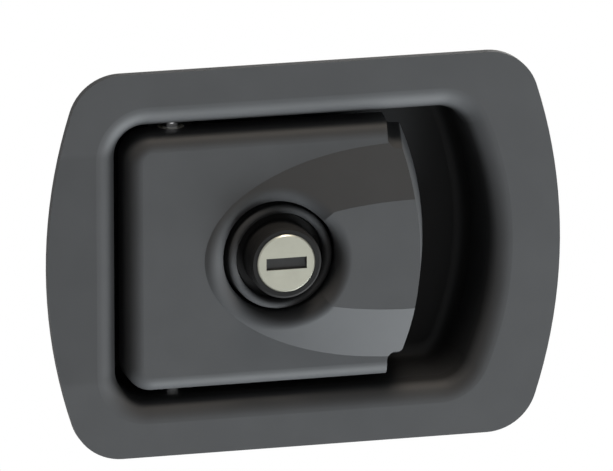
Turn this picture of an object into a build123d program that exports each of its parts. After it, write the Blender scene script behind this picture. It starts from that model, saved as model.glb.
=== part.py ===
from build123d import *
from math import atan, degrees, radians, sin, sqrt, tan
import os

os.makedirs("parts", exist_ok=True)

# Flush paddle latch with a key lock and a spring bolt, for a door or a hatch.
# X runs from the hinge end to the finger end, Y goes into the door and Z is up.
# The origin is the middle of the stud pattern, on the outer face of the door.
# A depth is measured into the door from the front face of the flange.

# ---- flange and pocket ----
flange_width = 140.0
flange_height = 105.0
flange_thickness = 2.5
flange_end_radius = 140.0
flange_corner_radius = 14.0
gasket_thickness = 1.5
gasket_margin = 1.0
gasket_gap = 0.3
stud_hole_gap = 1.2

rim_left = 19.2
rim_right = 19.0
rim_top = 15.1
pocket_end_radius = 84.0
pocket_corner_radius = 8.0
pocket_depth = 24.0
pocket_floor_radius = 4.0
pan_wall = 2.5
lip_radius = 6.0

# ---- hinge ----
pin_inset = 16.8
pin_depth = 10.9
pin_radius = 2.5
pin_head_radius = 4.0
pin_head_height = 1.6
retainer_radius = 4.6
retainer_thickness = 0.8
paddle_swing = 30.0
running_clearance = 0.05
bush_wall = 1.0

# ---- paddle ----
paddle_hinge_gap = 2.5
paddle_side_gap = 2.35
finger_room = 28.6
paddle_depth = 11.0
paddle_edge_radius = 4.2
paddle_corner_radius = 7.0
paddle_wall = 2.5
paddle_end_flare = 1.3

grip_length = 9.3
grip_side_inset = 6.95
grip_bow = 5.3
grip_bow_flare = 1.3
grip_flare = 3.3
grip_side_flare = 3.9
grip_blend = 2.7
grip_corner_radius = 0.8

hood_height = 5.6
hood_side_inset = 5.65
hood_behind_lock = 20.75
plateau_behind_lock = 8.85
plateau_half_height = 15.0

# ---- key lock ----
lock_spacing = 27.25
lock_proud = 6.3
lock_head_radius = 9.65
lock_head_setback = 0.3
lock_flange_radius = 11.4
lock_flange_thickness = 1.5
lock_body_radius = 8.0
lock_body_flats = 14.0
lock_body_end = 34.0
plug_face_radius = 7.9
plug_face_height = 4.2
plug_radius = 6.0
keyway_width = 11.0
keyway_height = 3.2
keyway_mouth_depth = 2.2
shutter_front = 0.4
shutter_thickness = 1.2
key_width = 7.0
key_thickness = 2.4
wafer_count = 5
wafer_pitch = 3.2
wafer_thickness = 1.0
wafer_width = 10.0
wafer_height = 6.0

collar_radius = 14.2
collar_draft = 1.5
collar_recess_radius = 11.9
collar_recess_depth = 4.5
collar_hole_gap = 0.7
collar_hole_draft = 4.5
rim_radius = 3.4

nut_flats = 22.0
nut_thickness = 4.5
nut_washer_thickness = 0.8

# ---- spring bolt and its housing ----
bolt_width = 30.0
bolt_thickness = 9.0
bolt_reach = 10.7
bolt_end_gap = 0.5
bolt_bevel_length = 9.5
bolt_nose_land = 1.5
bolt_front_gap = 0.5
bolt_side_gap = 0.4
housing_wall = 1.5
housing_inset = 0.8
housing_end_gap = 0.5
spring_spacing = 22.0
spring_radius = 3.0
spring_wire = 0.9
spring_turns = 8
spring_bore_radius = 3.4
spring_bore_depth = 17.5
guide_radius = 1.6
guide_length = 12.0
lug_proud = 3.9
lug_length = 4.5
lug_width = 6.0

tail_length = 21.0
tail_width = 11.0
tail_tip_radius = 3.0
tail_tip_thickness = 3.0
tail_gap = 0.4
tail_slot_length = 16.4
tail_root_half = 4.2

# ---- cam ----
cam_thickness = 2.5
cam_width = 11.0
cam_running_gap = 0.4
cam_end_gap = 0.3
cam_crank_rise = 4.5
cam_washer_thickness = 0.8
cam_hub_radius = 8.0
tang_size = 8.0

# ---- fasteners ----
stud_radius = 2.5
stud_length = 10.0
stud_corner_inset = 4.784
stud_edge_inset = 7.5
screw_radius = 2.0
screw_head_radius = 3.6
screw_head_height = 2.2
screw_slot_length = 4.2
screw_slot_width = 1.0
screw_slot_depth = 1.1
boss_radius = 4.0
boss_height = 6.0
tab_length = 10.0
tab_width = 12.0
tab_overlap = 0.5
screw_end_inset = 5.0
screw_side_inset = 7.0

# ---- worked out from the sizes above ----
door_gap = flange_thickness + gasket_thickness
pocket_left = rim_left - flange_width / 2
pocket_right = flange_width / 2 - rim_right
pocket_half_height = flange_height / 2 - rim_top
pin_x = pocket_left + pin_inset
pin_y = pin_depth - door_gap
paddle_left = pocket_left + paddle_hinge_gap
paddle_right = pocket_right - finger_room
paddle_half_height = pocket_half_height - paddle_side_gap
grip_reach = paddle_right + grip_length
grip_half_height = paddle_half_height - grip_side_inset
hood_half_height = paddle_half_height - hood_side_inset
lock_x = pin_x + lock_spacing
hood_left = lock_x - hood_behind_lock
plateau_left = lock_x - plateau_behind_lock
bolt_tip_x = pocket_left - bolt_reach
bolt_end_x = pin_x - bolt_end_gap
housing_left = pocket_left + housing_inset
collar_hole_radius = collar_radius + collar_hole_gap
floor_back = pocket_depth + pan_wall
bolt_front = floor_back + bolt_front_gap
bolt_back = bolt_front + bolt_thickness
bolt_travel = 2 * tail_length * sin(radians(paddle_swing / 2))
tail_tip_x = pin_x - bolt_travel / 2
tail_tip_depth = pin_depth + sqrt(tail_length**2 - (bolt_travel / 2) ** 2)
housing_front = bolt_back + bolt_side_gap
housing_back = housing_front + housing_wall
housing_end_x = bolt_end_x + bolt_travel + housing_end_gap
tab_depth = floor_back + boss_height
lug_end = housing_back + lug_proud
cam_tip_front = lug_end + cam_running_gap
cam_reach = lock_x - bolt_end_x - cam_end_gap
nut_front = floor_back + nut_washer_thickness
pin_reach = pocket_half_height + pan_wall


def level(depth):
    """Plane parallel to the door at a depth; extruding from it goes to the user."""
    return Plane.XZ.offset(door_gap - depth)


def sagitta(radius, half_height):
    return radius - sqrt(radius**2 - half_height**2)


def bowed_face(left, right, half_height, right_radius, left_radius=None):
    """Straight top and bottom, a bowed right end, and a bowed or straight left end."""
    right_x = right - sagitta(right_radius, half_height)
    left_x = left + sagitta(left_radius, half_height) if left_radius else left
    with BuildLine() as outline:
        Line((left_x, half_height), (right_x, half_height))
        ThreePointArc((right_x, half_height), (right, 0), (right_x, -half_height))
        Line((right_x, -half_height), (left_x, -half_height))
        if left_radius:
            ThreePointArc((left_x, -half_height), (left, 0), (left_x, half_height))
        else:
            Line((left_x, -half_height), (left_x, half_height))
    make_face(outline.edges())


def hood_face(left, middle, right, half_height):
    """Half an ellipse on the left of its middle, and a straight run on the right."""
    with BuildLine() as outline:
        EllipticalCenterArc((middle, 0), middle - left, half_height, 90, arc_size=180)
        Polyline((middle, -half_height), (right, -half_height), (right, half_height), (middle, half_height))
    make_face(outline.edges())


def at_depth(builder, depth):
    """Flat faces of a part that lie at a depth."""
    y = depth - door_gap
    return builder.faces().filter_by(Axis.Y).filter_by_position(Axis.Y, y - 0.01, y + 0.01)


def pin_circle(height, radius):
    """Circle round the hinge axis, on a plane across it."""
    with BuildSketch(Plane.XY.offset(height)) as ring:
        with Locations((pin_x, pin_y)):
            Circle(radius)
    return ring.sketch


def save(builder, name):
    builder.part.label = name
    export_step(builder.part, f"parts/{name}.step")


# The pan: flange, pocket, lock collar, paddle stops and screw bosses in one casting.
stop_radius = 3.5
stop_end_inset = 9.4
ring_wall = 2.4
rib_thickness = 1.6
rib_ring_gap = 1.2
rib_height = collar_hole_radius + ring_wall + rib_ring_gap
stop_x = paddle_right - stop_end_inset
stop_height = (rib_height + rib_thickness / 2 + paddle_half_height - paddle_wall) / 2
stop_spots = [(stop_x, stop_height), (stop_x, -stop_height)]
bumper_thickness = 2.0
bumper_gap = 0.3
stop_depth = paddle_wall + bumper_gap + bumper_thickness
tail_slot_width = tail_width + 2.0
screw_height = bolt_width / 2 + screw_side_inset
screw_columns = (housing_left + screw_end_inset, housing_end_x - screw_end_inset)
screw_spots = [(x, z) for x in screw_columns for z in (screw_height, -screw_height)]
flange_corner_x = flange_width / 2 - sagitta(flange_end_radius, flange_height / 2)
stud_x = flange_corner_x - stud_corner_inset
stud_height = flange_height / 2 - stud_edge_inset
stud_spots = GridLocations(2 * stud_x, 2 * stud_height, 2, 2)


def body_section(clearance):
    """Round body of the lock with its two flats."""
    Circle(lock_body_radius + clearance)
    Rectangle(lock_body_radius * 3, lock_body_flats + 2 * clearance, mode=Mode.INTERSECT)


with BuildPart() as pan:
    with BuildSketch(level(flange_thickness)) as flange_outline:
        bowed_face(-flange_width / 2, flange_width / 2, flange_height / 2,
                   flange_end_radius, flange_end_radius)
        fillet(flange_outline.vertices(), flange_corner_radius)
    extrude(amount=flange_thickness)
    with BuildSketch(level(flange_thickness)) as shell_outline:
        bowed_face(pocket_left - pan_wall, pocket_right + pan_wall,
                   pocket_half_height + pan_wall, pocket_end_radius + pan_wall)
        fillet(shell_outline.vertices(), pocket_corner_radius + pan_wall)
    extrude(amount=flange_thickness - floor_back)
    fillet(at_depth(pan, floor_back).edges(), pocket_floor_radius + pan_wall / 2)
    with BuildSketch(level(0)) as pocket_outline:
        bowed_face(pocket_left, pocket_right, pocket_half_height, pocket_end_radius)
        fillet(pocket_outline.vertices(), pocket_corner_radius)
    extrude(amount=-pocket_depth, mode=Mode.SUBTRACT)
    fillet(at_depth(pan, pocket_depth).edges(), pocket_floor_radius)
    fillet(at_depth(pan, 0).face().inner_wires()[0].edges(), lip_radius)
    fillet(at_depth(pan, flange_thickness).face().inner_wires()[0].edges(), lip_radius - pan_wall)

    with BuildSketch(level(pocket_depth + pan_wall / 2)):
        with Locations((lock_x, 0)):
            Circle(collar_radius + (pocket_depth + pan_wall / 2) * tan(radians(collar_draft)))
    extrude(amount=pocket_depth + pan_wall / 2, taper=collar_draft)
    with BuildSketch(level(0)):
        with Locations((lock_x, 0)):
            Circle(collar_recess_radius)
    extrude(amount=-collar_recess_depth, mode=Mode.SUBTRACT)
    bead = at_depth(pan, 0).sort_by(SortBy.AREA)[0]
    fillet(bead.edges(), (collar_radius - collar_recess_radius) / 2 - 0.05)
    with BuildSketch(level(0)):
        with Locations((lock_x, 0)):
            body_section(running_clearance)
    extrude(amount=-floor_back - 1, mode=Mode.SUBTRACT)

    with BuildSketch(level(pocket_depth)):
        with Locations(*stop_spots):
            Circle(stop_radius)
    extrude(amount=pocket_depth - stop_depth)
    with BuildSketch(level(pocket_depth)):
        with Locations((pin_x, 0)):
            RectangleRounded(tail_slot_length, tail_slot_width, 2)
    extrude(amount=-pan_wall - 1, mode=Mode.SUBTRACT)
    with BuildSketch(level(floor_back)):
        with Locations(*screw_spots):
            Circle(boss_radius)
    extrude(amount=-boss_height)
    with BuildSketch(level(tab_depth)):
        with Locations(*screw_spots):
            Circle(screw_radius)
    extrude(amount=boss_height, mode=Mode.SUBTRACT)
    extrude(pin_circle(-pin_reach, pin_radius + running_clearance), amount=2 * pin_reach, mode=Mode.SUBTRACT)
save(pan, "pan")

# Foam gasket between the flange and the door.
with BuildPart() as gasket:
    with BuildSketch(level(flange_thickness + gasket_thickness)) as gasket_outline:
        bowed_face(gasket_margin - flange_width / 2, flange_width / 2 - gasket_margin,
                   flange_height / 2 - gasket_margin,
                   flange_end_radius - gasket_margin, flange_end_radius - gasket_margin)
        fillet(gasket_outline.vertices(), flange_corner_radius - gasket_margin)
        with BuildSketch(mode=Mode.PRIVATE) as gasket_inside:
            inside = lip_radius + gasket_gap
            bowed_face(pocket_left - inside, pocket_right + inside,
                       pocket_half_height + inside, pocket_end_radius + inside)
            fillet(gasket_inside.vertices(), pocket_corner_radius + inside)
        add(gasket_inside.sketch, mode=Mode.SUBTRACT)
        with stud_spots:
            Circle(stud_radius + stud_hole_gap, mode=Mode.SUBTRACT)
    extrude(amount=gasket_thickness)
save(gasket, "gasket")

# Weld studs on the back of the flange.
with BuildPart() as mounting_studs:
    with BuildSketch(level(flange_thickness)):
        with stud_spots:
            Circle(stud_radius)
    extrude(amount=-stud_length)
    chamfer(mounting_studs.edges().group_by(Axis.Y)[-1], 0.6)
save(mounting_studs, "mounting_studs")

# Rubber bumpers that the closed paddle rests on.
with BuildPart() as paddle_bumpers:
    with BuildSketch(level(stop_depth)):
        with Locations(*stop_spots):
            Circle(stop_radius)
    extrude(amount=bumper_thickness)
    fillet(paddle_bumpers.edges().group_by(Axis.Y)[0], 0.8)
save(paddle_bumpers, "paddle_bumpers")

# Hinge pin with its head above the pocket, and the push-on retainer below it.
with BuildPart() as hinge_pin:
    extrude(pin_circle(pin_reach, pin_head_radius), amount=pin_head_height)
    fillet(hinge_pin.edges().group_by(Axis.Z)[-1], 0.7)
    extrude(pin_circle(-pin_reach - 3, pin_radius), amount=2 * pin_reach + 3)
    chamfer(hinge_pin.edges().group_by(Axis.Z)[0], 0.5)
save(hinge_pin, "hinge_pin")

with BuildPart() as pin_retainer:
    with BuildSketch(Plane.XY.offset(-pin_reach - retainer_thickness)):
        with Locations((pin_x, pin_y)):
            Circle(retainer_radius)
            Circle(pin_radius, mode=Mode.SUBTRACT)
            with PolarLocations(pin_radius + 0.4, 3):
                Rectangle(1.6, 1.0, mode=Mode.SUBTRACT)
    extrude(amount=retainer_thickness)
save(pin_retainer, "pin_retainer")

# The paddle: a hollow casting with a raised hood, a drafted grip and a tail.
hub_wall = 2.4
hub_radius = pin_radius + running_clearance + bush_wall + hub_wall
hub_length = 9.0
hub_middle = paddle_half_height - hub_length / 2
rib_depth = 7.0
rib_left = pin_x + hub_radius / 4
rib_right = paddle_right - paddle_wall - rib_thickness / 2
grip_draft = degrees(atan(grip_flare / paddle_depth))


def paddle_form(inset):
    """Outside of the paddle for no inset, and its hollow for an inset of one wall."""
    front = inset
    right = paddle_right - inset
    right_deep = right + paddle_end_flare
    half_height = paddle_half_height - inset
    with BuildSketch(Plane.XY) as side:
        Polygon((paddle_left + inset, front - door_gap), (right, front - door_gap),
                (right_deep, paddle_depth - door_gap), (paddle_left + inset, paddle_depth - door_gap),
                align=None)
    extrude(side.sketch, amount=half_height, both=True)


def end_face(depth, inset):
    """Plan of the finger end at a depth: the end of the plate, a blend and the bowed grip."""
    share = depth / paddle_depth
    end = paddle_right + paddle_end_flare * share - inset
    half_height = grip_half_height + grip_side_flare * share - inset
    right = grip_reach + grip_flare * share - inset
    corner = (right - grip_bow - grip_bow_flare * share, half_height)
    blend_top = half_height + grip_blend
    with BuildLine() as outline:
        Line((hood_left, blend_top), (end, blend_top))
        CenterArc((end + grip_blend, blend_top), grip_blend, 180, 90)
        Line((end + grip_blend, half_height), corner)
        mirror(outline.line, about=Plane.XZ)
        ThreePointArc(corner, (right, 0), (corner[0], -half_height))
        Line((hood_left, -blend_top), (hood_left, blend_top))
    make_face(outline.edges())


def grip_form(inset):
    """Flared finger end, from the flush face to the back edge."""
    with BuildSketch(level(inset)) as front:
        end_face(inset, inset)
        fillet(front.vertices().sort_by(Axis.X)[-2:], grip_corner_radius)
    with BuildSketch(level(paddle_depth)) as deep:
        end_face(paddle_depth, inset)
        fillet(deep.vertices().sort_by(Axis.X)[-2:], grip_corner_radius)
    loft([front.sketch, deep.sketch], ruled=True)


def hood_form(inset):
    """Raised hood with evenly sloping sides and a flat top, ending with the grip."""
    rise_draft = hood_height * grip_flare / paddle_depth
    grip_end_radius = (grip_half_height**2 + grip_bow**2) / (2 * grip_bow)
    foot_middle = grip_reach - inset - sagitta(grip_end_radius, hood_half_height)
    top_middle = grip_reach - inset - rise_draft - sagitta(grip_end_radius, plateau_half_height)
    beyond = grip_reach + grip_length
    with BuildSketch(level(inset)) as foot:
        hood_face(hood_left + inset, foot_middle, beyond, hood_half_height - inset)
    with BuildSketch(level(inset - hood_height)) as top:
        hood_face(plateau_left + inset, top_middle, beyond, plateau_half_height - inset / 2)
    with BuildSketch(level(inset)) as end:
        end_face(inset, inset)
        fillet(end.vertices().sort_by(Axis.X)[-2:], grip_corner_radius)
    hood = loft([foot.sketch, top.sketch], mode=Mode.PRIVATE)
    add(hood & extrude(end.sketch, amount=hood_height, taper=grip_draft, mode=Mode.PRIVATE))


with BuildPart() as paddle_hollow:
    paddle_form(paddle_wall)
    fillet(paddle_hollow.edges().filter_by(Axis.Y), paddle_corner_radius - paddle_wall)
    fillet(at_depth(paddle_hollow, paddle_wall).edges(), paddle_edge_radius - paddle_wall)
    grip_form(paddle_wall)
    hood_form(paddle_wall)
    with BuildSketch(level(paddle_depth)):
        with Locations((lock_x, 0)):
            Circle(collar_hole_radius + ring_wall)
    extrude(amount=paddle_depth + hood_height, mode=Mode.SUBTRACT)


def near_circle(edge, radius):
    """Whether an edge stays close to a radius from the axis of the lock."""
    points = [edge.position_at(share) for share in (0, 0.3, 0.7, 1)]
    return all(abs(sqrt((p.X - lock_x) ** 2 + p.Z**2) - radius) < 0.7 for p in points)


with BuildPart() as paddle:
    paddle_form(0)
    fillet(paddle.edges().filter_by(Axis.Y), paddle_corner_radius)
    fillet(at_depth(paddle, 0).edges().sort_by(Axis.X)[:-1], paddle_edge_radius)
    grip_form(0)
    hood_form(0)
    with BuildSketch(level(-2 * hood_height)):
        with Locations((lock_x, 0)):
            Circle(collar_hole_radius - 2 * hood_height * tan(radians(collar_hole_draft)))
    extrude(amount=-2 * hood_height - paddle_depth - 1, taper=-collar_hole_draft, mode=Mode.SUBTRACT)
    in_front = paddle.edges().filter_by(lambda edge: edge.center().Y < 0.01 - door_gap)
    fillet(in_front.filter_by(lambda edge: near_circle(edge, collar_hole_radius)), rim_radius)
    add(paddle_hollow.part, mode=Mode.SUBTRACT)
    # stiffening ribs beside the lock
    with BuildSketch(level(rib_depth)):
        with Locations(((rib_left + rib_right) / 2, 0)):
            with GridLocations(0, 2 * rib_height, 1, 2):
                Rectangle(rib_right - rib_left, rib_thickness)
    extrude(amount=rib_depth - paddle_wall / 2)
    # hinge hubs: one in each side wall, and one that carries the tail
    extrude(pin_circle(-tail_width / 2, hub_radius), amount=tail_width)
    for middle in (hub_middle, -hub_middle):
        extrude(pin_circle(middle - hub_length / 2, hub_radius), amount=hub_length)
    with BuildSketch(level(pin_depth)):
        with Locations((pin_x, 0)):
            Rectangle(2 * tail_root_half, tail_width)
    extrude(amount=pin_depth - paddle_wall / 2)
    # the tail leans away from the grip while the latch is shut
    with BuildSketch(Plane.XY.offset(-tail_width / 2)):
        tip_y = tail_tip_depth - door_gap
        Polygon((pin_x - tail_root_half, pin_y), (pin_x + tail_root_half, pin_y),
                (tail_tip_x + tail_tip_thickness / 2, tip_y), (tail_tip_x - tail_tip_thickness / 2, tip_y),
                align=None)
        with Locations((tail_tip_x, tip_y)):
            Circle(tail_tip_radius)
    extrude(amount=tail_width)
    extrude(pin_circle(-pocket_half_height, pin_radius + running_clearance),
            amount=2 * pocket_half_height, mode=Mode.SUBTRACT)
    for middle in (hub_middle, -hub_middle):
        extrude(pin_circle(middle - hub_length / 2, pin_radius + running_clearance + bush_wall),
                amount=hub_length, mode=Mode.SUBTRACT)
save(paddle, "paddle")

# Nylon bushes pressed into the outer hubs.
for name, middle in (("upper_hinge_bush", hub_middle), ("lower_hinge_bush", -hub_middle)):
    with BuildPart() as bush:
        extrude(pin_circle(middle - hub_length / 2, pin_radius + running_clearance + bush_wall),
                amount=hub_length)
        extrude(pin_circle(middle - hub_length / 2, pin_radius + running_clearance),
                amount=hub_length, mode=Mode.SUBTRACT)
    save(bush, name)

# ---- key lock ----


def lock_disc(front, radius, thickness, mode=Mode.ADD):
    """Disc round the axis of the lock, from a depth inwards."""
    with BuildSketch(level(front)) as disc:
        with Locations((lock_x, 0)):
            Circle(radius)
    extrude(disc.sketch, amount=-thickness, mode=mode)


plug_seat = plug_face_height - lock_proud
head_front = lock_head_setback - lock_proud
seat_depth = collar_recess_depth

# Housing: a head, a flange that seats in the collar and a body with two flats.
with BuildPart() as lock_housing:
    lock_disc(head_front, lock_head_radius, seat_depth - head_front)
    chamfer(lock_housing.edges().group_by(Axis.Y)[0], 0.6)
    lock_disc(seat_depth - lock_flange_thickness, lock_flange_radius, lock_flange_thickness)
    with BuildSketch(level(seat_depth)):
        with Locations((lock_x, 0)):
            body_section(0)
    extrude(amount=seat_depth - lock_body_end)
    lock_disc(head_front, plug_face_radius + running_clearance, plug_seat - head_front, Mode.SUBTRACT)
    lock_disc(head_front, plug_radius + running_clearance, lock_body_end - head_front, Mode.SUBTRACT)
save(lock_housing, "lock_housing")

# Star washer and nut that clamp the housing from behind.
with BuildPart() as lock_washer:
    with BuildSketch(level(floor_back)):
        with Locations((lock_x, 0)):
            Circle(nut_flats / 2)
            with PolarLocations(nut_flats / 2, 12):
                Rectangle(1.6, 1.2, mode=Mode.SUBTRACT)
            Circle(lock_body_radius + 0.2, mode=Mode.SUBTRACT)
    extrude(amount=-nut_washer_thickness)
save(lock_washer, "lock_washer")

with BuildPart() as lock_nut:
    with BuildSketch(level(nut_front)):
        with Locations((lock_x, 0)):
            RegularPolygon(nut_flats / 2, 6, major_radius=False)
            Circle(lock_body_radius, mode=Mode.SUBTRACT)
    extrude(amount=-nut_thickness)
    chamfer(lock_nut.edges().group_by(Axis.Y)[-1].filter_by(GeomType.LINE), 0.5)
save(lock_nut, "lock_nut")

# Plug with its keyway, a slot for each wafer, and a square tang for the cam.
plug_end = lock_body_end + 0.5
wafer_fronts = [4.0 + wafer_pitch * place for place in range(wafer_count)]
with BuildPart() as lock_plug:
    lock_disc(-lock_proud, plug_face_radius, plug_seat - running_clearance + lock_proud)
    chamfer(lock_plug.edges().group_by(Axis.Y)[0], 0.4)
    lock_disc(plug_seat - 1, plug_radius, plug_end - plug_seat + 1)
    with BuildSketch(level(plug_end)):
        with Locations((lock_x, 0)):
            Rectangle(tang_size, tang_size)
            Circle(plug_radius - 0.6, mode=Mode.INTERSECT)
    extrude(amount=-cam_thickness)
    with BuildSketch(level(-lock_proud)):
        with Locations((lock_x, 0)):
            Rectangle(keyway_width, keyway_height)
    extrude(amount=-keyway_mouth_depth, mode=Mode.SUBTRACT)
    with BuildSketch(level(-lock_proud)):
        with Locations((lock_x, 0)):
            Rectangle(key_width, key_thickness)
    extrude(amount=-lock_proud - wafer_fronts[-1] - wafer_pitch, mode=Mode.SUBTRACT)
    for front in wafer_fronts:
        with BuildSketch(level(front)) as slot:
            with Locations((lock_x, 0)):
                Rectangle(wafer_width + 2 * running_clearance, wafer_height + 2 * running_clearance)
        extrude(slot.sketch, amount=-wafer_thickness - 2 * running_clearance, mode=Mode.SUBTRACT)
    lock_disc(plug_end - 5.5, screw_radius, cam_thickness + 6, Mode.SUBTRACT)
save(lock_plug, "lock_plug")

# Sprung shutter that closes the mouth of the keyway.
with BuildPart() as keyway_shutter:
    with BuildSketch(level(shutter_front - lock_proud)):
        with Locations((lock_x, 0)):
            Rectangle(keyway_width - 0.1, keyway_height - 0.1)
    extrude(amount=-shutter_thickness)
save(keyway_shutter, "keyway_shutter")

# Wafers with windows of different widths for the cuts of a key.
with BuildPart() as wafers:
    for place, front in enumerate(wafer_fronts):
        with BuildSketch(level(front + running_clearance)) as wafer:
            with Locations((lock_x, 0)):
                Rectangle(wafer_width, wafer_height)
            with Locations((lock_x + 0.3 * (place % 3 - 1), 0)):
                Rectangle(key_width - 1, key_thickness + 0.4, mode=Mode.SUBTRACT)
        extrude(wafer.sketch, amount=-wafer_thickness)
save(wafers, "wafers")

# Cranked cam: it points up while the latch is free, and turns to the bolt to lock it.
crank_start = cam_hub_radius + 0.5
crank_end = crank_start + cam_crank_rise
with BuildPart() as lock_cam:
    with BuildSketch(Plane.YZ.offset(lock_x - cam_width / 2)):
        near = plug_end - door_gap
        far = cam_tip_front - door_gap
        Polygon((near, -cam_hub_radius), (near, crank_start), (far, crank_end), (far, cam_reach),
                (far + cam_thickness, cam_reach), (far + cam_thickness, crank_end - 1.2),
                (near + cam_thickness, crank_start - 1.2), (near + cam_thickness, -cam_hub_radius),
                align=None)
    extrude(amount=cam_width)
    fillet(lock_cam.edges().filter_by(Axis.Y), 3)
    with BuildSketch(level(plug_end)):
        with Locations((lock_x, 0)):
            Rectangle(tang_size + 2 * running_clearance, tang_size + 2 * running_clearance)
            Circle(plug_radius - 0.6 + running_clearance, mode=Mode.INTERSECT)
    extrude(amount=-cam_thickness, mode=Mode.SUBTRACT)
save(lock_cam, "lock_cam")

with BuildPart() as cam_washer:
    lock_disc(plug_end + cam_thickness, tang_size * 0.75, cam_washer_thickness)
    lock_disc(plug_end + cam_thickness, screw_radius + 0.1, cam_washer_thickness, Mode.SUBTRACT)
save(cam_washer, "cam_washer")

cam_screw_seat = plug_end + cam_thickness + cam_washer_thickness
cam_screw_length = 7.8
with BuildPart() as cam_screw:
    lock_disc(cam_screw_seat, screw_head_radius, screw_head_height)
    chamfer(cam_screw.edges().group_by(Axis.Y)[-1], 0.5)
    lock_disc(cam_screw_seat - cam_screw_length, screw_radius, cam_screw_length)
    with BuildSketch(level(cam_screw_seat + screw_head_height)):
        with Locations((lock_x, 0)):
            Rectangle(screw_slot_length, screw_slot_width)
            Rectangle(screw_slot_width, screw_slot_length)
    extrude(amount=screw_slot_depth, mode=Mode.SUBTRACT)
save(cam_screw, "cam_screw")

# ---- spring bolt ----
spring_heights = (spring_spacing / 2, -spring_spacing / 2)
bolt_middle = (bolt_front + bolt_back) / 2
bolt_y = bolt_middle - door_gap
window_length = 2 * (tail_tip_radius + tail_gap)
window_width = tail_width + 2 * tail_gap + 0.6

# Bolt: bevelled nose, a window for the tail, two spring bores and a lug for the cam.
with BuildPart() as bolt:
    with BuildSketch(Plane.XY.offset(-bolt_width / 2)):
        front_y = bolt_front - door_gap
        back_y = bolt_back - door_gap
        Polygon((bolt_tip_x, front_y), (bolt_end_x, front_y), (bolt_end_x, back_y),
                (bolt_tip_x + bolt_bevel_length, back_y), (bolt_tip_x, front_y + bolt_nose_land), align=None)
    extrude(amount=bolt_width)
    fillet(bolt.edges().filter_by(Axis.Y).sort_by(Axis.X)[:2], 2)
    with BuildSketch(level(bolt_front)):
        with Locations((tail_tip_x, 0)):
            RectangleRounded(window_length, window_width, 0.6)
    extrude(amount=-bolt_thickness, mode=Mode.SUBTRACT)
    with BuildSketch(Plane.YZ.offset(bolt_end_x)):
        with Locations(*[(bolt_y, height) for height in spring_heights]):
            Circle(spring_bore_radius)
    extrude(amount=-spring_bore_depth, mode=Mode.SUBTRACT)
    with BuildSketch(level(bolt_back)):
        with Locations((bolt_end_x - lug_length / 2, 0)):
            Rectangle(lug_length, lug_width)
    extrude(amount=bolt_back - lug_end)
save(bolt, "bolt")

# Bolt housing: a folded steel channel with four screw tabs and a slot for the lug.
inner_half = bolt_width / 2 + bolt_side_gap
outer_half = inner_half + housing_wall
tab_middle = outer_half - tab_overlap + tab_width / 2
housing_length = housing_end_x + housing_wall - housing_left
housing_middle = (housing_end_x + housing_wall + housing_left) / 2
with BuildPart() as bolt_housing:
    with BuildSketch(level(housing_back)):
        with Locations((housing_middle, 0)):
            Rectangle(housing_length, 2 * outer_half)
    extrude(amount=housing_back - floor_back)
    fillet(bolt_housing.edges().group_by(Axis.Y)[-1].filter_by(Axis.X), housing_wall)
    with BuildSketch(level(housing_front)):
        with Locations((housing_middle - housing_wall, 0)):
            Rectangle(housing_length, 2 * inner_half)
    extrude(amount=housing_front - floor_back, mode=Mode.SUBTRACT)
    with BuildSketch(level(tab_depth + housing_wall)):
        with Locations(*[(x, tab_middle if z > 0 else -tab_middle) for x, z in screw_spots]):
            RectangleRounded(tab_length, tab_width, 2)
    extrude(amount=housing_wall)
    with BuildSketch(level(tab_depth + housing_wall)):
        with Locations(*screw_spots):
            Circle(screw_radius + 0.2)
        Rectangle(4 * flange_width, 2 * inner_half)
    extrude(amount=housing_wall, mode=Mode.SUBTRACT)
    slot_left = bolt_end_x - lug_length - 0.6
    with BuildSketch(level(housing_back)):
        with Locations(((slot_left + housing_end_x + housing_wall) / 2, 0)):
            Rectangle(housing_end_x + housing_wall - slot_left, lug_width + 1)
    extrude(amount=housing_wall, mode=Mode.SUBTRACT)
save(bolt_housing, "bolt_housing")

with BuildPart() as housing_screws:
    with BuildSketch(level(tab_depth + housing_wall + screw_head_height)):
        with Locations(*screw_spots):
            Circle(screw_head_radius)
    extrude(amount=screw_head_height)
    chamfer(housing_screws.edges().group_by(Axis.Y)[-1], 0.5)
    with BuildSketch(level(tab_depth + housing_wall)):
        with Locations(*screw_spots):
            Circle(screw_radius)
    extrude(amount=housing_wall + boss_height - 0.5)
    with BuildSketch(level(tab_depth + housing_wall + screw_head_height)):
        with Locations(*screw_spots):
            Rectangle(screw_slot_length, screw_slot_width)
            Rectangle(screw_slot_width, screw_slot_length)
    extrude(amount=screw_slot_depth, mode=Mode.SUBTRACT)
save(housing_screws, "housing_screws")

# Guide rods in the end wall of the housing, and the springs that run on them.
spring_start = bolt_end_x - spring_bore_depth + 0.1
spring_length = housing_end_x - 0.1 - spring_start
with BuildPart() as spring_guides:
    with BuildSketch(Plane.YZ.offset(housing_end_x)):
        with Locations(*[(bolt_y, height) for height in spring_heights]):
            Circle(guide_radius)
    extrude(amount=-guide_length)
    chamfer(spring_guides.edges().group_by(Axis.X)[0], 0.4)
save(spring_guides, "spring_guides")

for name, height in (("upper_bolt_spring", spring_heights[0]), ("lower_bolt_spring", spring_heights[1])):
    with BuildPart() as bolt_spring:
        middle_radius = spring_radius - spring_wire / 2
        with BuildLine() as coil:
            Helix(pitch=(spring_length - spring_wire) / spring_turns, height=spring_length - spring_wire,
                  radius=middle_radius, center=(spring_start + spring_wire / 2, bolt_y, height),
                  direction=(1, 0, 0))
        with BuildSketch(Plane(origin=coil.line @ 0, z_dir=coil.line % 0)):
            RegularPolygon(spring_wire / 2, 6)
        sweep(path=coil.line, is_frenet=True)
    save(bolt_spring, name)
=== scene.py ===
import bpy
import bmesh
from math import cos, pi, radians, sin
from mathutils import Matrix, Vector


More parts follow.
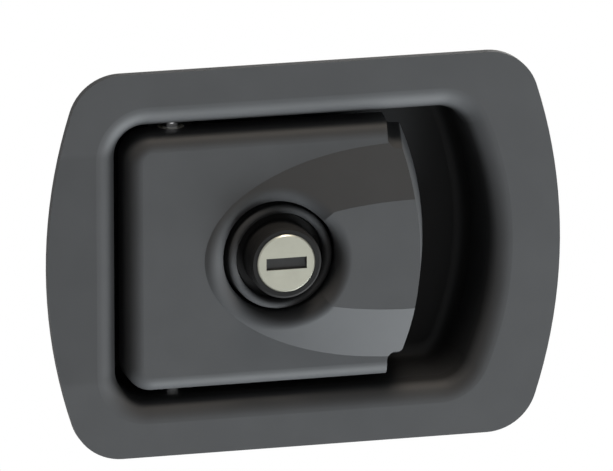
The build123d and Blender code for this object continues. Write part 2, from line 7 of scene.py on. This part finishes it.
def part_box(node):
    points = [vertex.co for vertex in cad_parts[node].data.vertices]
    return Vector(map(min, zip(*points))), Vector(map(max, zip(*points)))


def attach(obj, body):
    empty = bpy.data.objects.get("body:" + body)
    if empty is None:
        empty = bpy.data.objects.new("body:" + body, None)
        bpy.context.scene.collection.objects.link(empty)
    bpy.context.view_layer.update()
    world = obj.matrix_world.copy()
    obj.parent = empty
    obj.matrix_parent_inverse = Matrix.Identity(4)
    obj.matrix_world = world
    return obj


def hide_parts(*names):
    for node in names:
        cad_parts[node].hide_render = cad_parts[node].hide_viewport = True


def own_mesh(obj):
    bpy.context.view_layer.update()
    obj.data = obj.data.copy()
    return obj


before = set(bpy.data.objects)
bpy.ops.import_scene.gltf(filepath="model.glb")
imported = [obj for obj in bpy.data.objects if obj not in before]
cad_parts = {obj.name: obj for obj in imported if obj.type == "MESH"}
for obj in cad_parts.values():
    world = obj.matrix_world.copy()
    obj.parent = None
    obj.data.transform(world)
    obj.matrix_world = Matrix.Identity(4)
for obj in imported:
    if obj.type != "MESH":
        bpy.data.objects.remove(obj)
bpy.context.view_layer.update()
print("frame loaded:", len(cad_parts), "nodes")


# ---------- shader maths as expressions ----------

class Val:
    # an output socket that can be added, multiplied and compared
    def __init__(self, tree, socket):
        self.tree, self.socket = tree, socket

    def math(self, kind, other=None, clamp=False):
        node = self.tree.nodes.new("ShaderNodeMath")
        node.operation, node.use_clamp = kind, clamp
        for place, item in enumerate((self, other)):
            if isinstance(item, Val):
                self.tree.links.new(item.socket, node.inputs[place])
            elif item is not None:
                node.inputs[place].default_value = item
        return Val(self.tree, node.outputs[0])

    def __add__(self, other):
        return self.math("ADD", other)

    def __mul__(self, other):
        return self.math("MULTIPLY", other)

    def __sub__(self, other):
        return self.math("SUBTRACT", other)

    def __rsub__(self, other):
        return (self * -1.0) + other

    def clamped(self):
        return self.math("ADD", 0.0, clamp=True)


class Finish:
    # one material with its shader, and a way to add any node to it
    def __init__(self, name):
        self.material = bpy.data.materials.new(name)
        self.material.use_nodes = True
        self.tree = self.material.node_tree
        self.shader = self.tree.nodes["Principled BSDF"]
        place = self.tree.nodes.new("ShaderNodeTexCoord")
        self.coords, self.normal = place.outputs["Object"], place.outputs["Normal"]

    def add(self, kind, **sockets):
        node = self.tree.nodes.new(kind)
        for key, value in sockets.items():
            self.feed(node.inputs[key], value)
        return Val(self.tree, node.outputs[0])

    def split(self, vector):
        node = self.tree.nodes.new("ShaderNodeSeparateXYZ")
        self.feed(node.inputs["Vector"], vector)
        return [Val(self.tree, output) for output in node.outputs]

    def feed(self, socket, value):
        if isinstance(value, Val):
            self.tree.links.new(value.socket, socket)
        elif isinstance(value, bpy.types.NodeSocket):
            self.tree.links.new(value, socket)
        else:
            socket.default_value = value

    def noise(self, scale, detail, roughness=0.5):
        return self.add("ShaderNodeTexNoise", Vector=self.coords, Scale=scale, Detail=detail,
                        Roughness=roughness)

    def cells(self, scale):
        return self.add("ShaderNodeTexVoronoi", Vector=self.coords, Scale=scale)

    def blend(self, share, first, second):
        node = self.tree.nodes.new("ShaderNodeMix")
        node.data_type = "RGBA"
        # sockets 6 and 7 are the two colours, and output 2 is the colour made of them
        for place, value in ((0, share), (6, first), (7, second)):
            self.feed(node.inputs[place], value)
        return Val(self.tree, node.outputs[2])

    def bump(self, height, strength, distance):
        self.set(Normal=self.add("ShaderNodeBump", Height=height, Strength=strength, Distance=distance))

    def set(self, **sockets):
        for key, value in sockets.items():
            self.feed(self.shader.inputs[key.replace("_", " ")], value)


def opaque(colour, times=1.0):
    return (*[part * times for part in colour], 1.0)


def grey(value, tint=(1.0, 1.0, 1.0)):
    return opaque(tint, value)


# ---------- powder coat ----------

coatLook = {"colour": (0.069, 0.0715, 0.075), "lighter": 1.12, "dustScale": 90.0, "dustFrom": 0.35,
            "dustGain": 1.6, "roughness": 0.50, "roughSpread": 0.10, "specular": 0.12, "peelScale": 1100.0,
            "peelStrength": 0.16, "peelDepth": 0.00003}
# painted shade on the pan's coat: darker from this Y inwards, sooner beside the hinge, and on the flange's
# edge, standing in for the shade that falls in the recess, the hinge gap and on that edge
panPaintedShade = {"from": -0.0025, "over": 0.0023, "keep": 0.32, "floor": 0.05, "flangeBack": -0.0016,
             "hingeX": 0.046, "sooner": 0.0019, "cornerZ": 0.037, "perMetre": 150.0}


# share of painted shade: inward faces darken with depth into the recess, sooner in the hinge gap, and outward
# faces in front of the flange's back are painted dark as the flange's shaded cut edge
def paintedShadeShare(f, paintedShade):
    x, depth, z = f.split(f.coords)
    nx, ny, nz = f.split(f.normal)
    outward = (ny * paintedShade["floor"] + x * nx + z * nz).math("GREATER_THAN", 0.0)
    edgeShade = outward * depth.math("LESS_THAN", paintedShade["flangeBack"])
    hingeGapShade = ((x * -1.0 - paintedShade["hingeX"]) * paintedShade["perMetre"]).clamped()
    hingeGapShade = hingeGapShade * ((paintedShade["cornerZ"] - z.math("ABSOLUTE")) * paintedShade["perMetre"]).clamped()
    recessShade = ((depth - paintedShade["from"] + hingeGapShade * paintedShade["sooner"]) * (1.0 / paintedShade["over"])).clamped()
    return recessShade * (1.0 - outward) + edgeShade


def powderCoat(name, look, paintedShade=None):
    f = Finish(name)
    dust = f.noise(look["dustScale"], 3.0)
    colour = f.blend((dust - look["dustFrom"]) * look["dustGain"], opaque(look["colour"]),
                     opaque(look["colour"], look["lighter"]))
    if paintedShade:
        # mixes the painted shade into the pan's coat colour
        colour = f.blend(paintedShadeShare(f, paintedShade), colour, opaque(look["colour"], paintedShade["keep"]))
    f.set(Base_Color=colour, Roughness=(dust - 0.5) * look["roughSpread"] + look["roughness"],
          Specular_IOR_Level=look["specular"])
    f.bump(f.noise(look["peelScale"], 1.5), look["peelStrength"], look["peelDepth"])
    return f.material


coatMaterial = powderCoat("powderCoat", coatLook)
panMaterial = powderCoat("panCoatPaintedShade", coatLook, panPaintedShade)

# ---------- satin nickel ----------

nickelLook = {"colour": (0.335, 0.335, 0.283), "worn": 0.86, "cloudScale": 220.0, "cloudFrom": 0.4,
              "cloudGain": 1.5, "grainScale": 2600.0, "roughness": 0.36, "roughSpread": 0.12,
              "grainStrength": 0.08, "grainDepth": 0.00001}


def satinNickel(name, look):
    f = Finish(name)
    grain = f.noise(look["grainScale"], 1.0)
    cloud = f.noise(look["cloudScale"], 3.0)
    share = (cloud - look["cloudFrom"]) * look["cloudGain"]
    f.set(Base_Color=f.blend(share, opaque(look["colour"]), opaque(look["colour"], look["worn"])),
          Metallic=1.0, Roughness=(grain - 0.5) * look["roughSpread"] + look["roughness"])
    f.bump(grain, look["grainStrength"], look["grainDepth"])
    return f.material


nickelMaterial = satinNickel("satinNickel", nickelLook)

# ---------- zinc plate ----------

zincLook = {"colour": (0.40, 0.41, 0.425), "yellow": (0.37, 0.355, 0.315), "roughness": 0.40}
pinLook = {"colour": (0.85, 0.86, 0.88), "yellow": (0.80, 0.80, 0.78), "roughness": 0.02}
plateSetting = {"cloudScale": 70.0, "cloudFrom": 0.35, "cloudGain": 2.0, "cloudRoughness": 0.2,
                "spangleScale": 260.0, "spangleRoughness": 0.14, "cloudStrength": 0.1, "cloudDepth": 0.00004}


def zincPlate(name, look, plate):
    f = Finish(name)
    spangle = f.cells(plate["spangleScale"])
    cloud = f.noise(plate["cloudScale"], 4.0, 0.6)
    share = (cloud - plate["cloudFrom"]) * plate["cloudGain"]
    rough = spangle * plate["spangleRoughness"] + (cloud - 0.5) * plate["cloudRoughness"] + look["roughness"]
    f.set(Base_Color=f.blend(share, opaque(look["colour"]), opaque(look["yellow"])), Metallic=1.0,
          Roughness=rough)
    f.bump(cloud, plate["cloudStrength"], plate["cloudDepth"])
    return f.material


zincMaterial = zincPlate("zincPlate", zincLook, plateSetting)
pinMaterial = zincPlate("brightPin", pinLook, plateSetting)

# ---------- cast zinc ----------

castLook = {"light": 0.36, "dark": 0.27, "darkTint": (1, 1, 0.98), "cloudScale": 60.0, "cloudFrom": 0.3,
            "cloudGain": 1.6, "grainScale": 900.0, "grainRoughness": 0.65, "metallic": 0.85, "roughness": 0.38,
            "roughSpread": 0.2, "grainStrength": 0.3, "grainDepth": 0.00004}


def castZinc(name, look):
    f = Finish(name)
    grain = f.noise(look["grainScale"], 3.0, look["grainRoughness"])
    cloud = f.noise(look["cloudScale"], 3.0)
    share = (cloud - look["cloudFrom"]) * look["cloudGain"]
    f.set(Base_Color=f.blend(share, grey(look["light"]), grey(look["dark"], look["darkTint"])),
          Metallic=look["metallic"], Roughness=grain * look["roughSpread"] + look["roughness"])
    f.bump(grain, look["grainStrength"], look["grainDepth"])
    return f.material


castMaterial = castZinc("castZinc", castLook)

# ---------- foam and rubber ----------

foamLook = {"shade": 0.028, "cellScale": 1600.0, "cellDepth": 0.0001}
rubberLook = {"shade": 0.02, "cellScale": 500.0, "cellDepth": 0.00003}
cellSetting = {"darker": 0.8, "lighter": 1.25, "cloudScale": 120.0, "roughness": 0.72, "roughSpread": 0.2,
               "specular": 0.25, "strength": 0.5}


def foam(name, look, setting):
    f = Finish(name)
    cells = f.cells(look["cellScale"])
    cloud = f.noise(setting["cloudScale"], 3.0)
    dark, light = grey(look["shade"] * setting["darker"]), grey(look["shade"] * setting["lighter"])
    f.set(Base_Color=f.blend(cloud, dark, light),
          Roughness=cells * setting["roughSpread"] + setting["roughness"],
          Specular_IOR_Level=setting["specular"])
    f.bump(cells, setting["strength"], look["cellDepth"])
    return f.material


foamMaterial = foam("gasketFoam", foamLook, cellSetting)
rubberMaterial = foam("bumperRubber", rubberLook, cellSetting)

# ---------- nylon, brass and spring wire ----------

nylonLook = {"first": (0.62, 0.60, 0.53), "second": (0.70, 0.68, 0.62), "cloudScale": 300.0, "roughness": 0.4,
             "roughSpread": 0.15, "strength": 0.1, "depth": 0.00002}


def nylon(name, look):
    f = Finish(name)
    cloud = f.noise(look["cloudScale"], 2.0)
    f.set(Base_Color=f.blend(cloud, opaque(look["first"]), opaque(look["second"])),
          Roughness=cloud * look["roughSpread"] + look["roughness"])
    f.bump(cloud, look["strength"], look["depth"])
    return f.material


nylonMaterial = nylon("naturalNylon", nylonLook)

brassLook = {"first": (0.60, 0.42, 0.17), "second": (0.44, 0.30, 0.13), "cloudScale": 260.0,
             "grainScale": 1500.0, "roughness": 0.28, "roughSpread": 0.2}


def brass(name, look):
    f = Finish(name)
    grain = f.noise(look["grainScale"], 2.0)
    cloud = f.noise(look["cloudScale"], 3.0)
    f.set(Base_Color=f.blend(cloud, opaque(look["first"]), opaque(look["second"])), Metallic=1.0,
          Roughness=grain * look["roughSpread"] + look["roughness"])
    return f.material


brassMaterial = brass("stampedBrass", brassLook)

wireLook = {"light": 0.30, "lightTint": (1, 1, 1.03), "dark": 0.20, "cloudScale": 400.0, "roughness": 0.26,
            "roughSpread": 0.2}


def springWire(name, look):
    f = Finish(name)
    cloud = f.noise(look["cloudScale"], 3.0)
    f.set(Base_Color=f.blend(cloud, grey(look["light"], look["lightTint"]), grey(look["dark"])), Metallic=1.0,
          Roughness=cloud * look["roughSpread"] + look["roughness"])
    return f.material


wireMaterial = springWire("springWire", wireLook)

# ---------- lock ----------

lockAxis = sum(corner[0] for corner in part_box("lock_plug")) / 2
threadSetting = {"axisX": lockAxis, "pitch": 0.001, "from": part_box("lock_washer")[0][1], "height": 2.0}
lockLook = {"shade": 0.019, "roughness": 0.6}
shutterLook = {"shade": 0.040, "roughness": 0.55}
blackSetting = {"darker": 0.8, "lighter": 1.25, "lightTint": (1, 1, 1.02), "cloudScale": 150.0,
                "grainScale": 1300.0, "roughSpread": 0.15, "specular": 0.06, "grainHeight": 0.07,
                "strength": 0.3, "depth": 0.0003}


def blackLock(name, look, setting, thread=None):
    f = Finish(name)
    grain = f.noise(setting["grainScale"], 2.0)
    cloud = f.noise(setting["cloudScale"], 3.0)
    light = grey(look["shade"] * setting["lighter"], setting["lightTint"])
    f.set(Base_Color=f.blend(cloud, grey(look["shade"] * setting["darker"]), light),
          Roughness=(grain - 0.5) * setting["roughSpread"] + look["roughness"],
          Specular_IOR_Level=setting["specular"])
    height = grain * setting["grainHeight"]
    if thread:
        # a helical ridge round the lock's axis, only behind the floor of the pan
        x, y, z = f.split(f.coords)
        turn = (x - thread["axisX"]).math("ARCTAN2", z) * (0.5 / pi)
        wave = (y * (1.0 / thread["pitch"]) + turn).math("PINGPONG", 0.5)
        height = height + wave * thread["height"] * y.math("GREATER_THAN", thread["from"])
    f.bump(height, setting["strength"], setting["depth"])
    return f.material


lockMaterial = blackLock("lockBlack", lockLook, blackSetting, threadSetting)
shutterMaterial = blackLock("shutterBlack", shutterLook, blackSetting)

# ---------- finishes on the nodes of the frame ----------

nodeFinish = {
    "pan": panMaterial, "paddle": coatMaterial, "hinge_pin": pinMaterial, "gasket": foamMaterial,
    "paddle_bumpers": rubberMaterial, "upper_hinge_bush": nylonMaterial, "lower_hinge_bush": nylonMaterial,
    "lock_housing": lockMaterial, "lock_plug": nickelMaterial, "keyway_shutter": shutterMaterial,
    "wafers": brassMaterial, "bolt": castMaterial, "upper_bolt_spring": wireMaterial,
    "lower_bolt_spring": wireMaterial,
}
for nodeName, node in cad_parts.items():
    for place in range(len(node.data.materials)):
        node.data.materials[place] = nodeFinish.get(nodeName, zincMaterial)
print("finishes given to", len(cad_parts), "nodes")

# ---------- bolt springs ----------

sharpAngle = radians(35)


def solidPiece(bm, name):
    # closes the open ends, and makes a smooth piece whose edges above the sharp angle stay sharp
    bmesh.ops.holes_fill(bm, edges=[edge for edge in bm.edges if edge.is_boundary], sides=0)
    bmesh.ops.recalc_face_normals(bm, faces=bm.faces)
    for face in bm.faces:
        face.smooth = True
    for edge in bm.edges:
        edge.smooth = edge.calc_face_angle(0.0) < sharpAngle
    mesh = bpy.data.meshes.new(name)
    bm.to_mesh(mesh)
    bm.free()
    piece = bpy.data.objects.new(name, mesh)
    bpy.context.scene.collection.objects.link(piece)
    return piece


springSetting = {"wire": 0.00045, "coil": 0.00255, "turns": 8, "ringSides": 10, "turnSteps": 24,
                 "closedPitch": 2.1, "keep": 0.62}


def roundWireSpring(name, node, setting):
    # a round wire helix with its end turns closed, where the plain one of the frame is
    low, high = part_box(node)
    wire, turns = setting["wire"], setting["turns"]
    length = high[0] - low[0] - 2 * wire
    closed = setting["closedPitch"] * wire
    loose = (length - 2 * closed) / (turns - 2)
    axisY, axisZ = (low[1] + high[1]) / 2, (low[2] + high[2]) / 2
    bm = bmesh.new()
    start = Matrix.Translation((low[0] + wire, axisY, axisZ + setting["coil"]))
    start = start @ Matrix.Rotation(pi / 2, 4, "X")
    bmesh.ops.create_circle(bm, radius=wire, segments=setting["ringSides"], matrix=start)
    last = list(bm.verts) + list(bm.edges)
    for pitch, count in ((closed, 1), (loose, turns - 2), (closed, 1)):
        steps = count * setting["turnSteps"]
        last = bmesh.ops.spin(bm, geom=last, cent=(0, axisY, axisZ), axis=(1, 0, 0), angle=2 * pi * count,
                              dvec=(pitch / setting["turnSteps"], 0, 0), steps=steps)["geom_last"]
    return solidPiece(bm, name)


for name, node in (("upperWireSpring", "upper_bolt_spring"), ("lowerWireSpring", "lower_bolt_spring")):
    spring = roundWireSpring(name, node, springSetting)
    spring.data.materials.append(wireMaterial)
    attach(spring, "pan_assembly")
    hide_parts(node)
    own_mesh(spring)
print("springs made")

# ---------- threaded studs ----------

studSetting = {"core": 0.0022, "crest": 0.0025, "pitch": 0.0008, "turnSteps": 28, "ridge": 0.0003,
               "ridgeWider": 1.1, "chamfer": 0.0005, "plain": 0.0012, "runIn": 0.0002, "sides": 28}


def threadedStuds(name, node, setting):
    # a chamfered core, a plain collar and a helical ridge in each of the four corners of the node's box
    low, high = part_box(node)
    crest, core, plain, sides = setting["crest"], setting["core"], setting["plain"], setting["sides"]
    middle = (low[1] + high[1]) / 2
    begin = low[1] + plain + setting["runIn"]
    turns = int((high[1] - setting["chamfer"] - begin) / setting["pitch"])
    alongY = Matrix.Rotation(-pi / 2, 4, "X")
    steps = setting["turnSteps"]
    ridgeShape = Matrix.Diagonal(((crest - core) / setting["ridge"], setting["ridgeWider"], 1, 1))
    bm = bmesh.new()
    for x in (low[0] + crest, high[0] - crest):
        for z in (low[2] + crest, high[2] - crest):
            place = Matrix.Translation((x, middle, z)) @ alongY
            stem = bmesh.ops.create_cone(bm, cap_ends=True, radius1=core, radius2=core,
                                         depth=high[1] - low[1], segments=sides, matrix=place)
            tip = {vert for vert in stem["verts"] if vert.co.y > middle}
            rim = [edge for edge in bm.edges if tip.issuperset(edge.verts)]
            bmesh.ops.bevel(bm, geom=rim, offset=setting["chamfer"], segments=1, affect="EDGES",
                            profile=0.5, material=-1)
            collar = Matrix.Translation((x, low[1] + plain / 2, z)) @ alongY
            bmesh.ops.create_cone(bm, cap_ends=True, radius1=crest, radius2=crest, depth=plain,
                                  segments=sides, matrix=collar)
            section = Matrix.Translation((x + core, begin, z)) @ ridgeShape
            ridge = bmesh.ops.create_circle(bm, radius=setting["ridge"], segments=4, matrix=section)["verts"]
            loop = ridge + list({edge for vert in ridge for edge in vert.link_edges})
            bmesh.ops.spin(bm, geom=loop, cent=(x, 0, z), axis=(0, 1, 0), angle=2 * pi * turns,
                           dvec=(0, setting["pitch"] / steps, 0), steps=turns * steps)
    return solidPiece(bm, name)


studs = threadedStuds("threadedStuds", "mounting_studs", studSetting)
studs.data.materials.append(zincMaterial)
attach(studs, "pan_assembly")
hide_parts("mounting_studs")
print("studs made")

# ---------- camera ----------

cameraSetting = {"left": 14.4, "above": 15.6, "lens": 600.0, "sensor": 36.0, "width": 0.1623,
                 "right": 0.00026, "up": 0.00534, "flangeY": -0.004, "near": 0.1, "far": 60.0}
camera = bpy.data.objects.new("camera", bpy.data.cameras.new("camera"))
bpy.context.scene.collection.objects.link(camera)
bpy.context.scene.camera = camera
turn, rise = radians(cameraSetting["left"]), radians(cameraSetting["above"])
back = Vector((-sin(turn) * cos(rise), -cos(turn) * cos(rise), sin(rise)))
rotation = (-back).to_track_quat("-Z", "Y")
distance = cameraSetting["width"] / cameraSetting["sensor"] * cameraSetting["lens"]
aim = Vector((0, cameraSetting["flangeY"], 0))
aim += rotation @ Vector((cameraSetting["right"], cameraSetting["up"], 0))
camera.location = aim + back * distance
camera.rotation_mode = "QUATERNION"
camera.rotation_quaternion = rotation
camera.data.lens, camera.data.sensor_width = cameraSetting["lens"], cameraSetting["sensor"]
camera.data.clip_start, camera.data.clip_end = cameraSetting["near"], cameraSetting["far"]
print("camera at", [round(part, 3) for part in camera.location])

# ---------- light, floor and background ----------

# a cool key from low on the right, a warm fill from above, and a lamp for the back
lampSetting = {
    "key": {"towards": (0.55, -0.31, -0.775), "far": 2.2, "size": 1.6,
            "power": 147.0, "colour": (0.94, 0.98, 1.0)},
    "fill": {"towards": (0.16, -0.20, 0.97), "far": 2.2, "size": 0.6,
             "power": 29.0, "colour": (1.0, 0.88, 0.75)},
    "rear": {"towards": (0.62, 0.77, -0.10), "far": 2.2, "size": 2.0,
             "power": 26.0, "colour": (1.0, 0.98, 0.95)},
}
for name, lamp in lampSetting.items():
    data = bpy.data.lights.new(name, "AREA")
    data.size, data.energy, data.color = lamp["size"], lamp["power"], lamp["colour"]
    lampObject = bpy.data.objects.new(name, data)
    towards = Vector(lamp["towards"]).normalized()
    lampObject.location = towards * lamp["far"]
    lampObject.rotation_mode = "QUATERNION"
    lampObject.rotation_quaternion = (-towards).to_track_quat("-Z", "Y")
    lampObject.visible_camera = False
    bpy.context.scene.collection.objects.link(lampObject)


def seenWhite(tree, shader, white, output):
    # camera, glossy and transmission rays meet plain white, and the other rays meet the shader
    path = tree.nodes.new("ShaderNodeLightPath")
    cameraOrGloss = Val(tree, path.outputs["Is Camera Ray"]) + Val(tree, path.outputs["Is Glossy Ray"])
    share = (cameraOrGloss + Val(tree, path.outputs["Is Transmission Ray"])).clamped()
    mix = tree.nodes.new("ShaderNodeMixShader")
    white.inputs["Color"].default_value = (1, 1, 1, 1)
    white.inputs["Strength"].default_value = 1.0
    tree.links.new(share.socket, mix.inputs[0])
    tree.links.new(shader, mix.inputs[1])
    tree.links.new(white.outputs[0], mix.inputs[2])
    tree.links.new(mix.outputs[0], output)


worldSetting = {"colour": (1.0, 0.955, 0.90, 1), "strength": 0.12}
world = bpy.data.worlds.new("studio")
bpy.context.scene.world = world
world.use_nodes = True
tree = world.node_tree
tree.nodes.clear()
dim = tree.nodes.new("ShaderNodeBackground")
dim.inputs["Color"].default_value = worldSetting["colour"]
dim.inputs["Strength"].default_value = worldSetting["strength"]
plain = tree.nodes.new("ShaderNodeBackground")
seenWhite(tree, dim.outputs[0], plain, tree.nodes.new("ShaderNodeOutputWorld").inputs[0])

floorSetting = {"size": 60.0, "below": 2.2, "colour": (0.82, 0.82, 0.82, 1), "roughness": 0.9}
bm = bmesh.new()
bmesh.ops.create_grid(bm, x_segments=2, y_segments=2, size=floorSetting["size"] / 2)
bmesh.ops.translate(bm, verts=bm.verts, vec=(0, 0, -floorSetting["below"]))
floorMesh = bpy.data.meshes.new("floor")
bm.to_mesh(floorMesh)
bm.free()
floor = bpy.data.objects.new("floor", floorMesh)
bpy.context.scene.collection.objects.link(floor)
paint = bpy.data.materials.new("paleFloor")
paint.use_nodes = True
tree = paint.node_tree
shade = tree.nodes["Principled BSDF"]
shade.inputs["Base Color"].default_value = floorSetting["colour"]
shade.inputs["Roughness"].default_value = floorSetting["roughness"]
glow = tree.nodes.new("ShaderNodeEmission")
seenWhite(tree, shade.outputs[0], glow, tree.nodes["Material Output"].inputs[0])
floor.data.materials.append(paint)
bpy.context.scene.view_settings.view_transform = "Standard"
print("stage ready")
